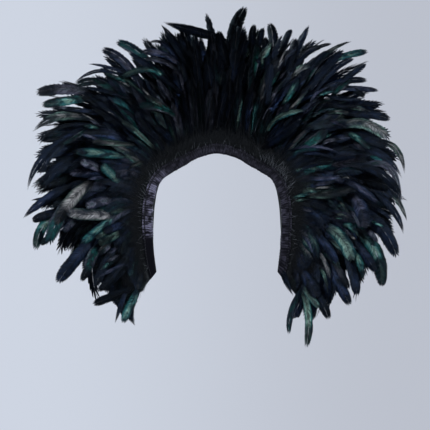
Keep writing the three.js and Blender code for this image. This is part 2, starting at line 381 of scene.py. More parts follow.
satin, tree, shader = new_material("gathered_satin")
satin_place = uv_place(tree, "cloth")
crumple = noise(tree, satin_place, SATIN_CREASES, 3.0, 0.6)
fold = xyz(tree, uv_place(tree, "fold"))
# Painted highlight on the ridges of the gathers and painted shade in their grooves, by how high each point
# stands and by the crumple, scaled by the painted light along the band.
ridge_light_share = calc(tree, "MULTIPLY_ADD", calc(tree, "SUBTRACT", crumple, 0.5), 0.5, fold["X"])
painted_ridge_highlight = product(tree, ramp_to(tree, ridge_light_share, 0.24, 0.82), fold["Y"])
satin_height = calc(tree, "MULTIPLY_ADD", woven(tree, satin_place, SATIN_WARP, SATIN_WEFT), 0.12, crumple)
finish = {
    "Base Color": blend_colours(tree, painted_ridge_highlight, *SATIN_SHADE_TO_HIGHLIGHT),
    "Roughness": ramp_to(tree, painted_ridge_highlight, 0.0, 1.0, 0.5, 0.34),
    "Normal": bump(tree, satin_height, 0.6, 0.0012),
    "Specular IOR Level": 0.13,
    "Specular Tint": (0.88, 0.80, 1.0, 1),
}
set_inputs(tree, shader, finish)

for side, (first, last) in PANELS.items():
    places = np.linspace(first, last, round((last - first) * BAND_STEPS))
    u, across = np.meshgrid(places, np.linspace(-1, 1, BAND_ROWS), indexing="ij")
    from_fold = np.abs(across)
    stitched = np.exp(-(((from_fold * BAND_WIDTH - STITCH_DISTANCE) / STITCH_REACH) ** 2))
    raised = gathers(u, across) * (1 - STITCH_DEPTH * stitched)
    moved = raised * np.where(from_fold > 0.9, HEM_RIPPLE_OUT, -FOLD_RIPPLE * (1 - from_fold) ** 2)
    distance = BAND_WIDTH * from_fold**1.15 + moved
    body = BAND_HEIGHT * np.clip(from_fold * 5, 0, 1) ** 0.5
    swell = BAND_SWELL * np.sin(np.pi * from_fold) + GATHER_HEIGHT * raised
    pressed = np.clip((LAST_STATION - np.abs(u)) / END_PRESS, 0, 1) ** 0.5
    stands = body * (0.55 + 0.45 * pressed) + swell * pressed * np.clip(from_fold * 6, 0, 1)
    height = -np.sign(across) * stands
    flat_place = np.stack([u * STATION_LENGTH * GATHER_FULLNESS, across * BAND_WIDTH], -1)
    # The painted light along the band, a little uneven, goes to the satin beside the height of its gathers.
    painted_light_share = np.interp(u, PAINTED_LIGHT_ALONG_BAND["u"], PAINTED_LIGHT_ALONG_BAND["share"]) * (0.8 + 0.2 * smooth_noise(u * 1.7, across, 15))
    maps = {"cloth": flat_place, "fold": np.stack([raised, painted_light_share], -1)}
    binding = cloth_piece(f"satin_{side}", point_at(u, distance, height), maps, BAND_WALL)
    dress(binding, satin, "satin", f"band_{side}")
    hem = point_at(*(grid[:, 0] for grid in (u, distance, height)))

# Each arm loop is a flat black elastic, sewn to the back of the band at the lower end of the front and at
# the back of the shoulder. The arm goes through it, behind the front.
LOOP_WIDTH = 0.02
LOOP_WALL = 0.0014
LOOP_DEPTH = 0.15
LOOP_ENDS = (9.0, 3.5)
LOOP_DISTANCE = 0.013
LOOP_HEIGHT = -0.0054
LOOP_MIDDLE_ROUNDNESS = 2.8
LOOP_END_ROUNDNESS = 1.7
LOOP_STEPS = 90
LOOP_ROWS = 11
LOOP_DISH = 0.0005
LOOP_WAVE = 0.0003
RIBS_ALONG = 2400.0
RIBS_ACROSS = 5200.0
ELASTIC_SHADES = ((0.006, 0.006, 0.008, 1), (0.022, 0.021, 0.025, 1))

elastic, tree, shader = new_material("woven_elastic")
ribs = woven(tree, uv_place(tree, "cloth"), RIBS_ALONG, RIBS_ACROSS)
finish = {
    "Base Color": blend_colours(tree, ribs, *ELASTIC_SHADES),
    "Roughness": 0.78,
    "Normal": bump(tree, ribs, 0.7, 0.0004),
    "Sheen Weight": 0.2,
}
set_inputs(tree, shader, finish)

for name, side in {"left": -1, "right": 1}.items():
    share = np.linspace(0, 1, LOOP_STEPS)
    u = side * (LOOP_ENDS[0] + (LOOP_ENDS[1] - LOOP_ENDS[0]) * share)
    bow = (1 - np.abs(2 * share - 1) ** LOOP_MIDDLE_ROUNDNESS) ** LOOP_END_ROUNDNESS
    line = point_at(u, np.full(LOOP_STEPS, LOOP_DISTANCE), np.full(LOOP_STEPS, LOOP_HEIGHT))
    line[:, 1] += LOOP_DEPTH * bow
    heading = unit(np.gradient(line, axis=0))
    out = frame_at(u)[1]
    width_way = unit(out - heading * (heading * out).sum(-1, keepdims=True))
    face_way = np.cross(heading, width_way)
    spread_across = np.linspace(-0.5, 0.5, LOOP_ROWS)
    dish = LOOP_DISH * (2 * spread_across) ** 2 + LOOP_WAVE * np.sin(share * 40)[:, None]
    points = (
        line[:, None]
        + width_way[:, None] * (spread_across * LOOP_WIDTH)[None, :, None]
        + face_way[:, None] * dish[..., None]
    )
    run = share * length_of(line)
    flat_place = np.stack(np.broadcast_arrays(run[:, None], (spread_across * LOOP_WIDTH)[None]), -1)
    ribbon = cloth_piece(f"elastic_{name}", points, {"cloth": flat_place}, LOOP_WALL)
    dress(ribbon, elastic, "elastic", f"arm_loop_{name}")

# A feather is a quill with a vane of barbs on both sides, and the barbs hang together in locks that fray at
# their ends. One lock and one quill are modelled here. Every feather of the cape is built from copies of
# the two.
LOCK_SECTIONS = {"out": (0.32, 0.62, 0.88, 1.0), "width": (1.0, 0.98, 0.84, 0.0)}
QUILL_RINGS = (0.12, 0.3, 0.5, 0.7, 0.86)
QUILL_TIP = 0.25
LOCK_POINT = 0.001
NEAR = 0.01


def begin_shape(add, **settings):
    """A shape of length 1 along Y, opened in edit mode."""
    bpy.ops.object.select_all(action="DESELECT")
    add(location=(0, 0.5, 0), rotation=(math.radians(-90), 0, 0), **settings)
    bpy.ops.object.transform_apply(location=True, rotation=True, scale=True)
    bpy.ops.object.mode_set(mode="EDIT")
    return bpy.context.object


def select_where(piece, test):
    """Selects the points of the mesh in edit mode that pass a test of their place."""
    shape = bmesh.from_edit_mesh(piece.data)
    for part in (*shape.faces, *shape.edges, *shape.verts):
        part.select = False
    for point in shape.verts:
        point.select = test(point.co)
    shape.select_flush(True)
    bmesh.update_edit_mesh(piece.data)


def split_at(rings):
    """Cuts the mesh in edit mode across, at places along it."""
    for ring in rings:
        bpy.ops.mesh.select_all(action="SELECT")
        bpy.ops.mesh.bisect(plane_co=(0, ring, 0), plane_no=(0, 1, 0))


def take_shape(piece):
    """The points and triangles of the object in edit mode, which is then taken out of the scene."""
    bpy.ops.mesh.select_all(action="SELECT")
    bpy.ops.mesh.quads_convert_to_tris()
    bpy.ops.object.mode_set(mode="OBJECT")
    mesh = piece.data
    points = np.zeros(len(mesh.vertices) * 3)
    mesh.vertices.foreach_get("co", points)
    triangles = np.array([list(face.vertices) for face in mesh.polygons])
    bpy.data.objects.remove(piece)
    return points.reshape(-1, 3), triangles


bpy.ops.object.select_all(action="DESELECT")
bpy.ops.mesh.primitive_plane_add(size=1)
lock = bpy.context.object
bpy.ops.object.mode_set(mode="EDIT")
bpy.ops.transform.resize(value=(LOCK_SECTIONS["out"][0], 1, 1))
bpy.ops.transform.translate(value=(LOCK_SECTIONS["out"][0] / 2, 0, 0))
for i in range(1, len(LOCK_SECTIONS["out"])):
    step = LOCK_SECTIONS["out"][i] - LOCK_SECTIONS["out"][i - 1]
    narrowing = LOCK_SECTIONS["width"][i] / LOCK_SECTIONS["width"][i - 1]
    select_where(lock, lambda place: place.x > LOCK_SECTIONS["out"][i - 1] - NEAR)
    bpy.ops.mesh.extrude_edges_move(TRANSFORM_OT_translate={"value": (step, 0, 0)})
    bpy.ops.transform.resize(value=(1, max(narrowing, LOCK_POINT), 1))
bpy.ops.mesh.merge(type="CENTER")
LOCK_POINTS, LOCK_TRIANGLES = take_shape(lock)

quill = begin_shape(bpy.ops.mesh.primitive_cone_add, vertices=4, radius1=1, radius2=QUILL_TIP, depth=1)
split_at(QUILL_RINGS)
QUILL_POINTS, QUILL_TRIANGLES = take_shape(quill)


def repeat_shape(count, points, triangles):
    """The triangles of many copies of a shape in one mesh."""
    starts = np.arange(count)[:, None, None] * len(points)
    return (triangles[None] + starts).reshape(-1, 3)


# The kinds of feather, by the outline of the vane (half its width at places along the feather), how far the
# barbs sweep to the tip, how unevenly they end, and how much the two sides bend back from the quill.
KINDS = {
    "tail": {
        "along": (0.1, 0.25, 0.5, 0.76, 0.88, 0.95, 0.985, 1.0),
        "width": (0.3, 0.7, 0.97, 1.0, 0.84, 0.58, 0.32, 0.08),
        "locks": 30,
        "sweep": 0.085,
        "fray": 0.09,
        "cup": 0.3,
    },
    "hackle": {
        "along": (0.1, 0.25, 0.5, 0.72, 0.88, 0.96, 1.0),
        "width": (0.32, 0.74, 1.0, 0.8, 0.42, 0.18, 0.03),
        "locks": 30,
        "sweep": 0.12,
        "fray": 0.1,
        "cup": 0.22,
    },
    "frayed": {
        "along": (0.1, 0.25, 0.5, 0.76, 0.9, 0.97, 1.0),
        "width": (0.35, 0.75, 1.0, 0.95, 0.72, 0.45, 0.2),
        "locks": 24,
        "sweep": 0.14,
        "fray": 0.36,
        "cup": 0.36,
    },
}
VANE_FROM = 0.06
VANE_TO = 0.945
QUILL_WIDTH = 0.055
QUILL_END = 0.985
QUILL_RISE = 0.02
LOCK_OVERLAP = 1.7


def make_kind(along, width, locks, sweep, fray, cup):
    """One flat feather of length 1 and half width 1: its points (across, along, up), triangles, and marks.

    The marks of a point are its place across the vane, its place along, and a number for its own lock."""
    number = np.arange(2 * locks)
    side = np.where(number % 2, 1.0, -1.0)[:, None]
    place = (number // 2 + 0.5 * (number % 2) + 0.25) / locks
    root = (VANE_FROM + (VANE_TO - VANE_FROM) * place)[:, None]
    tip = np.minimum(root + sweep * (1.05 - 0.4 * place[:, None]), 1.0)
    short = 1 - fray * np.abs(uneven(number, sweep * 100))[:, None] ** 2.5
    out = LOCK_POINTS[None, :, 0] * short
    half = np.interp(tip, along, width)
    lock_width = (VANE_TO - VANE_FROM) / locks * LOCK_OVERLAP
    across = side * (0.02 + half * out)
    up = -cup * across**2 + 0.05 * LOCK_POINTS[None, :, 1] + 0.1 * uneven(number, 5)[:, None] * out
    forward = root + (tip - root) * out**1.25 + lock_width * LOCK_POINTS[None, :, 1] * (1 - 0.3 * out)
    vane = np.stack([across, np.minimum(forward, 1.0), up], -1).reshape(-1, 3)
    chance = np.broadcast_to(chance_at(number, 9)[:, None], out.shape).reshape(-1)
    triangles = repeat_shape(2 * locks, LOCK_POINTS, LOCK_TRIANGLES)
    stem = QUILL_POINTS * (QUILL_WIDTH, QUILL_END, QUILL_WIDTH) + (0, 0, QUILL_RISE)
    points = np.concatenate([vane, stem])
    triangles = np.concatenate([triangles, QUILL_TRIANGLES + len(vane)])
    chance = np.concatenate([chance, np.full(len(stem), 0.5)])
    return points, triangles, np.stack([points[:, 0], points[:, 1], chance], -1)


MADE_KINDS = {name: make_kind(**kind) for name, kind in KINDS.items()}


def lay_along(kind, lines, faces, half_width, twist, cup_share):
    """Copies of a feather laid along lines. faces holds the cape's face there, and twist turns the vane."""
    points, triangles, marks = kind
    samples = lines.shape[1]
    heading = unit(np.gradient(lines, axis=1))
    across = unit(np.cross(heading, faces))
    up = np.cross(across, heading)
    turn = twist[:, None, None] * np.linspace(0.3, 1, samples)[None, :, None]
    across, up = across * np.cos(turn) + up * np.sin(turn), up * np.cos(turn) - across * np.sin(turn)
    place = np.clip(points[:, 1], 0, 1) * (samples - 1)
    low = np.minimum(place.astype(int), samples - 2)
    share = (place - low)[None, :, None]

    def at_points(values):
        return values[:, low] * (1 - share) + values[:, low + 1] * share

    sideways = (points[:, 0][None] * half_width[:, None])[..., None]
    upwards = (points[:, 2][None] * half_width[:, None] * cup_share[:, None])[..., None]
    laid = at_points(lines) + at_points(across) * sideways + at_points(up) * upwards
    return laid.reshape(-1, 3), repeat_shape(len(lines), points, triangles), np.tile(marks, (len(lines), 1))


def lay_piece(name, shape, lines, faces, half_width, material, slot):
    """One object of even copies of a shape, laid along lists of lines, and the marks of its points."""
    lines, faces = np.concatenate(lines), np.concatenate(faces)
    even = np.ones(len(lines))
    points, triangles, marks = lay_along(shape, lines, faces, half_width * even, 0 * even, even)
    piece = mesh_piece(name, points, triangles.tolist())
    dress(piece, material, slot)
    return piece, marks


# The feathers are iridescent rooster tails and hackles, dyed black. Their sheen, reflected light on the real
# feathers, is painted into the barbs' colour as a thin colour over black: blue, violet, bottle green, teal,
# olive, cream or mauve. Half of it goes to Metallic, so it also tints the reflections. The pale cream
# patches are painted highlights. The quill is dark horn, and some vanes have a dark edge.
HUES = {
    "ink": {"place": 0.02, "colour": (0.008, 0.012, 0.022)},
    "indigo": {"place": 0.14, "colour": (0.026, 0.046, 0.115)},
    "violet": {"place": 0.27, "colour": (0.080, 0.086, 0.150)},
    "mauve": {"place": 0.41, "colour": (0.225, 0.200, 0.262)},
    "bottle": {"place": 0.55, "colour": (0.010, 0.080, 0.060)},
    "teal": {"place": 0.69, "colour": (0.040, 0.190, 0.198)},
    "jade": {"place": 0.77, "colour": (0.270, 0.415, 0.335)},
    "olive": {"place": 0.86, "colour": (0.100, 0.130, 0.112)},
    "cream": {"place": 0.96, "colour": (0.430, 0.385, 0.378)},
}
# Beside the nape the feathers get painted shade, as if in a head's shadow, over this span of distance from
# the middle: darker black, weaker sheen and higher Metallic.
NAPE_SHADE_SPAN = (0.07, 0.20)
BARB_SLANT = 0.1
BARB_SCALE = 150.0
PATCH_SCALE = 5.2
# The black of the barbs varies at random between these two, and painted shade by the nape takes it to the
# darker end.
BLACK_TONE_AND_SHADE = ((0.0003, 0.0004, 0.0009, 1), (0.0062, 0.0094, 0.0200, 1))
QUILL_COLOUR = (0.012, 0.010, 0.010, 1)

plumage, plumage_in, plumage_out = node_group(
    "plumage",
    {"Vane": "Vector", "Tint": "Color", "Chance": "Float", "Place": "Vector"},
    {"Colour": "Color", "Metal": "Float", "Barbs": "Float"},
)
vane_place = xyz(plumage, plumage_in["Vane"])
vane_tint = add_node(plumage, "SeparateColor", {"Color": plumage_in["Tint"]}).outputs
from_quill = calc(plumage, "ABSOLUTE", vane_place["X"])
from_nape = calc(plumage, "ABSOLUTE", xyz(plumage, plumage_in["Place"])["X"])
barb = calc(plumage, "SUBTRACT", vane_place["Y"], product(plumage, from_quill, BARB_SLANT))


def vane_noise(across, along, each, detail):
    """Noise that follows the barbs, and is different on each feather."""
    place = {
        "X": product(plumage, vane_place["X"], across),
        "Y": product(plumage, barb, along),
        "Z": product(plumage, vane_tint["Blue"], each),
    }
    return noise(plumage, add_node(plumage, "CombineXYZ", place).outputs["Vector"], 1.0, detail)


barbs = vane_noise(1.6, BARB_SCALE, 90.0, 3.0)
patches = vane_noise(0.9, PATCH_SCALE, 57.0, 2.0)
hue_shift = product(plumage, calc(plumage, "SUBTRACT", patches, 0.5), 0.34)
edge_shift = ramp_to(plumage, from_quill, 0.25, 0.95, 0.03, -0.13)
hue_place = calc(plumage, "ADD", calc(plumage, "ADD", vane_tint["Red"], hue_shift), edge_shift)
hue_ramp = add_node(plumage, "ValToRGB", {"Fac": hue_place})
stops = hue_ramp.color_ramp.elements
for name, hue in HUES.items():
    stop = stops[0] if name == "ink" else stops.new(hue["place"])
    stop.position = hue["place"]
    stop.color = (*hue["colour"], 1)
stops.remove(stops[-1])
inner = ramp_to(plumage, from_quill, 0.7, 1.0, 1.0, 0.25)
beyond_root = ramp_to(plumage, vane_place["Y"], 0.15, 0.5)
fade_from = calc(plumage, "MULTIPLY_ADD", vane_tint["Blue"], 0.42, 0.46)
before_tip = ramp_to(plumage, vane_place["Y"], fade_from, calc(plumage, "ADD", fade_from, 0.2), 1.0, 0.15)
patchy = ramp_to(plumage, patches, 0.36, 0.56, 0.12, 1.0)
streaky = ramp_to(plumage, barbs, 0.40, 0.60, 0.14, 1.25)
# Painted shade weakens the sheen beside the nape.
nape_shade_on_sheen = ramp_to(plumage, from_nape, 0.03, 0.13, 0.25, 1.0)
# The mask below is the share of painted sheen over the black barbs: strongest mid-vane, along the streaks and
# patches.
painted_sheen = product(plumage, vane_tint["Green"], nape_shade_on_sheen, inner, beyond_root, before_tip, patchy, streaky)
shade_glow = ramp_to(plumage, vane_tint["Blue"], 0.1, 0.9, 0.0, 0.5)
black_tone_and_nape_shade = calc(plumage, "MULTIPLY_ADD", plumage_in["Chance"], 0.55, shade_glow)
# Painted shade darkens the black beside the nape.
black_tone_and_nape_shade = product(plumage, black_tone_and_nape_shade, black_tone_and_nape_shade, ramp_to(plumage, from_nape, *NAPE_SHADE_SPAN, 0.08, 1.0))
black = blend_colours(plumage, black_tone_and_nape_shade, *BLACK_TONE_AND_SHADE)
quill_mask = ramp_to(plumage, from_quill, 0.04, 0.07, 0.5, 0.0)
vane_colour = blend_colours(plumage, painted_sheen, black, hue_ramp.outputs["Color"])
with_quill = blend_colours(plumage, quill_mask, vane_colour, QUILL_COLOUR)
# Higher Metallic beside the nape takes the reflection off the black barbs, as painted shade.
nape_shade_metal = ramp_to(plumage, from_nape, *NAPE_SHADE_SPAN, 0.85, 0.2)
metal = calc(plumage, "MULTIPLY_ADD", painted_sheen, 0.5, nape_shade_metal)
set_inputs(plumage, plumage_out, {"Colour": with_quill, "Metal": metal, "Barbs": barbs})

feathering, tree, shader = new_material("iridescent_feathers")
tint = add_node(tree, "Attribute", {}, attribute_name="tint").outputs
read = {"Vane": uv_place(tree, "vane"), "Tint": tint["Color"], "Chance": tint["Alpha"]}
vane = place_group(tree, plumage, {**read, "Place": object_place(tree)})
finish = {
    "Base Color": vane["Colour"],
    "Metallic": vane["Metal"],
    "Roughness": ramp_to(tree, vane["Barbs"], 0.3, 0.7, 0.28, 0.44),
    "Normal": bump(tree, vane["Barbs"], 0.8, 0.0015),
    "Specular IOR Level": 0.12,
    "Specular Tint": (0.80, 0.91, 1.0, 1),
}
set_inputs(tree, shader, finish)

TAPE_THREADS = 900.0
TAPE_SHADES = ((0.004, 0.004, 0.005, 1), (0.013, 0.013, 0.015, 1))
tape_cloth, tree, shader = new_material("black_strip")
tape_weave = woven(tree, uv_place(tree, "vane"), TAPE_THREADS, TAPE_THREADS)
finish = {
    "Base Color": blend_colours(tree, tape_weave, *TAPE_SHADES),
    "Roughness": 0.85,
    "Normal": bump(tree, tape_weave, 0.5, 0.0003),
}
set_inputs(tree, shader, finish)


def feather_piece(name, parts, strip=None):
    """One object of many feathers, each part being points, triangles, marks and tints, and its strip."""
    counts = [len(part[0]) for part in parts]
    starts = np.concatenate([[0], np.cumsum(counts)[:-1]])
    points = np.concatenate([part[0] for part in parts])
    faces = np.concatenate([part[1] + start for part, start in zip(parts, starts)]).tolist()
    marks = np.concatenate([part[2] for part in parts])
    tints = np.concatenate([part[3] for part in parts])
    vane_faces = len(faces)
    if strip is not None:
        strip_points, strip_faces = strip
        faces += (strip_faces + len(points)).tolist()
        points = np.concatenate([points, strip_points])
        marks = np.concatenate([marks, strip_points])
        tints = np.concatenate([tints, np.zeros((len(strip_points), 4))])
    piece = mesh_piece(name, points, faces)
    map_surface(piece, "vane", marks[:, :2])
    piece.data.attributes.new("tint", "FLOAT_COLOR", "POINT").data.foreach_set("color", tints.ravel())
    piece.data.materials.append(feathering)
    if strip is not None:
        piece.data.materials.append(tape_cloth)
        slots = np.zeros(len(faces), int)
        slots[vane_faces:] = 1
        piece.data.polygons.foreach_set("material_index", slots)
    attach(piece, "root")
    return piece


def tint_points(kind, marks, hue, strength, shade):
    """Four numbers at each point of some feathers: hue, strength of sheen, shade and the lock's chance."""
    each = len(kind[0])
    repeated = [np.repeat(values, each) for values in (hue, strength, shade)]
    return np.stack([*repeated, marks[:, 2]], -1)


# The feathers are sewn in rows on narrow strips of cloth, four rows on the front of the base and three on
# its back. The shortest are nearest the band, and the longest make the outer edge. All of them point
# outwards, and towards the shoulders they hang.
ROW_COLUMNS = ("face", "root", "tip", "tilt", "per_side", "end", "half", "density")
ROWS = {
    "front_1": dict(zip(ROW_COLUMNS, (1, 27, 0.47, 24, 16, 9.9, 0.0110, 5))),
    "front_2": dict(zip(ROW_COLUMNS, (1, 43, 0.66, 18, 18, 9.8, 0.0130, 4))),
    "front_3": dict(zip(ROW_COLUMNS, (1, 59, 0.84, 11.6, 20, 9.9, 0.0141, 4))),
    "front_4": dict(zip(ROW_COLUMNS, (1, 76, 1.0, 3.5, 22, 9.8, 0.0150, 4))),
    "back_3": dict(zip(ROW_COLUMNS, (-1, 74, 0.94, 5, 18, 9.5, 0.0146, 4))),
    "back_2": dict(zip(ROW_COLUMNS, (-1, 52, 0.72, 14, 11, 5.4, 0.0128, 5))),
    "back_1": dict(zip(ROW_COLUMNS, (-1, 30, 0.5, 24, 10, 5.2, 0.0110, 5))),
}
OWN = {"length": 0.08, "turn": 0.13, "tilt": 1.2, "hang": 0.3}
BETWEEN = {"from": 0.87, "length": 0.14, "turn": 0.4, "tilt": 2.4, "sag": 0.35, "bow": 0.24, "apart": 0.4}
LINE_SAMPLES = 16
LAST_TURN = 10.35
ROW_MARGIN = 0.15
ROW_SHORTEST = 0.03
ROW_HEIGHT = 0.0021
ROW_LIFT = 0.008 / 0.12
END_TRIM = {
    "u": (-9.7, -8.8, -7.9, -7.0, -6.0, 6.9, 7.5, 8.3, 9.2, 9.8),
    "share": (0.48, 0.6, 0.76, 0.82, 1, 1, 0.87, 0.84, 0.72, 0.6),
}
ROW_HUES = {"pick": (0, 0.35, 0.5, 0.62, 0.8, 0.92, 1), "hue": (0.02, 0.12, 0.24, 0.42, 0.58, 0.74, 0.9)}
ROW_STRENGTHS = {"pick": (0, 0.5, 0.75, 0.9, 1), "strength": (0.03, 0.14, 0.34, 0.66, 1.0)}
SAG_POWER = 1.7
WIDTH_SPREAD = 0.22
CUP_SPREAD = 0.6
STRIP_WIDTH = 0.008
STRIP_FROM = 0.0015
STRIP_TO = 0.0027
STRIP_STEPS = 300
ROW_KINDS = {"tail": (0, 0.72), "hackle": (0.72, 1.01)}
ROW_TWIST = 27
MM = 0.001


def row_lines(face, root, tip, tilt, per_side, end, density):
    """The numbers of a row's feathers, their lines, and the cape's face along them.

    Every so many of them is one of the solid's own feathers, and the others lie between those."""
    number = np.arange(2 * per_side * density + 1)
    own = number % density == 0
    index = number / density

    def loose(purpose):
        return np.where(own, 0, uneven(number, root + purpose))

    last_u = end - ROW_MARGIN
    u = -last_u + last_u / per_side * (index + BETWEEN["apart"] / density * loose(20))
    reach = np.where(u < 0, station_at(u, "reach_left"), station_at(u, "reach_right"))
    own_length = 1 + OWN["length"] * uneven(np.round(index), root)
    length = np.where(own, own_length, BETWEEN["from"] + BETWEEN["length"] * loose(21))
    trim = np.interp(u, END_TRIM["u"], END_TRIM["share"])
    length *= np.where(own, 0.3 + 0.7 * trim, trim)
    first = (root + 4) * MM
    last = np.maximum(reach * tip * length, first + ROW_SHORTEST)
    share = np.linspace(0, 1, LINE_SAMPLES)[None]
    run = (last - first)[:, None] * share
    droop = np.sign(u) * station_at(u, "droop")
    sag = droop * tip * (1 + BETWEEN["sag"] * loose(22))
    turn = np.where(own, OWN["turn"] * uneven(np.round(index), root + 1), BETWEEN["turn"] * loose(23))
    own_tilt = np.where(np.round(index) % 2 == 1, OWN["tilt"], -OWN["tilt"])
    tilt_each = tilt + np.where(own, own_tilt, BETWEEN["tilt"] * loose(24))
    lift = ROW_LIFT * loose(25)[:, None] * share**2.5 * (last - first)[:, None]
    height = ROW_HEIGHT + np.tan(np.radians(tilt_each))[:, None] * run + lift
    hang = droop * (0.6 + 0.6 * loose(27)) * np.clip(4.4 - np.abs(u) / 2.2, 0, 1)
    bow = BETWEEN["bow"] * loose(26)[:, None] * share**2
    place = u[:, None] + sag[:, None] * share**SAG_POWER + turn[:, None] * share + bow
    place += np.where(own, OWN["hang"] * hang, hang)[:, None] * share**3
    place = np.clip(place, -LAST_TURN, LAST_TURN)
    return number, point_at(place, first + run, face * height), face * frame_at(place)[2]


def row_strip(face, root, end):
    """A row's strip of cloth, as a closed ribbon along the base."""
    u = np.linspace(-end, end, STRIP_STEPS)[:, None]
    near, far = root * MM - STRIP_WIDTH / 2, root * MM + STRIP_WIDTH / 2
    ring_out = np.array([near, far, far, near])[None]
    ring_up = np.array([STRIP_FROM, STRIP_FROM, STRIP_TO, STRIP_TO])[None] * face
    places, distances, heights = np.broadcast_arrays(u, ring_out, ring_up)
    points = point_at(places, distances, heights).reshape(-1, 3)
    ring = np.arange(STRIP_STEPS - 1)[:, None] * 4
    side = np.arange(4)[None]
    after = (side + 1) % 4
    faces = np.stack([ring + side, ring + after, ring + 4 + after, ring + 4 + side], -1).reshape(-1, 4)
    last = 4 * (STRIP_STEPS - 1)
    ends = np.array([[3, 2, 1, 0], [last, last + 1, last + 2, last + 3]])
    faces = np.concatenate([faces, ends])
    return points, faces if face > 0 else faces[:, ::-1]


for name, row in ROWS.items():
    number, lines, faces = row_lines(**{key: value for key, value in row.items() if key != "half"})
    purpose = row["root"] * row["face"]
    pick = chance_at(number, purpose + 40)
    parts = []
    for kind_name, (low, high) in ROW_KINDS.items():
        chosen = (pick >= low) & (pick < high)
        some = number[chosen]
        kind = MADE_KINDS[kind_name]
        wide = row["half"] * (1 + WIDTH_SPREAD * uneven(some, purpose + 41))
        twist = np.radians(ROW_TWIST) * uneven(some, purpose + 42)
        cup_share = 1 + CUP_SPREAD * uneven(some, purpose + 43)
        points, triangles, marks = lay_along(kind, lines[chosen], faces[chosen], wide, twist, cup_share)
        hue = np.interp(chance_at(some, purpose + 44), ROW_HUES["pick"], ROW_HUES["hue"])
        strength = np.interp(chance_at(some, purpose + 45), ROW_STRENGTHS["pick"], ROW_STRENGTHS["strength"])
        tints = tint_points(kind, marks, hue, strength, chance_at(some, purpose + 46))
        parts.append((points, triangles, marks, tints))
    strip = row_strip(row["face"], row["root"], row["end"])
    plumes = feather_piece(f"plumes_{name}", parts, strip)
    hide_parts(f"feathers_{name}")

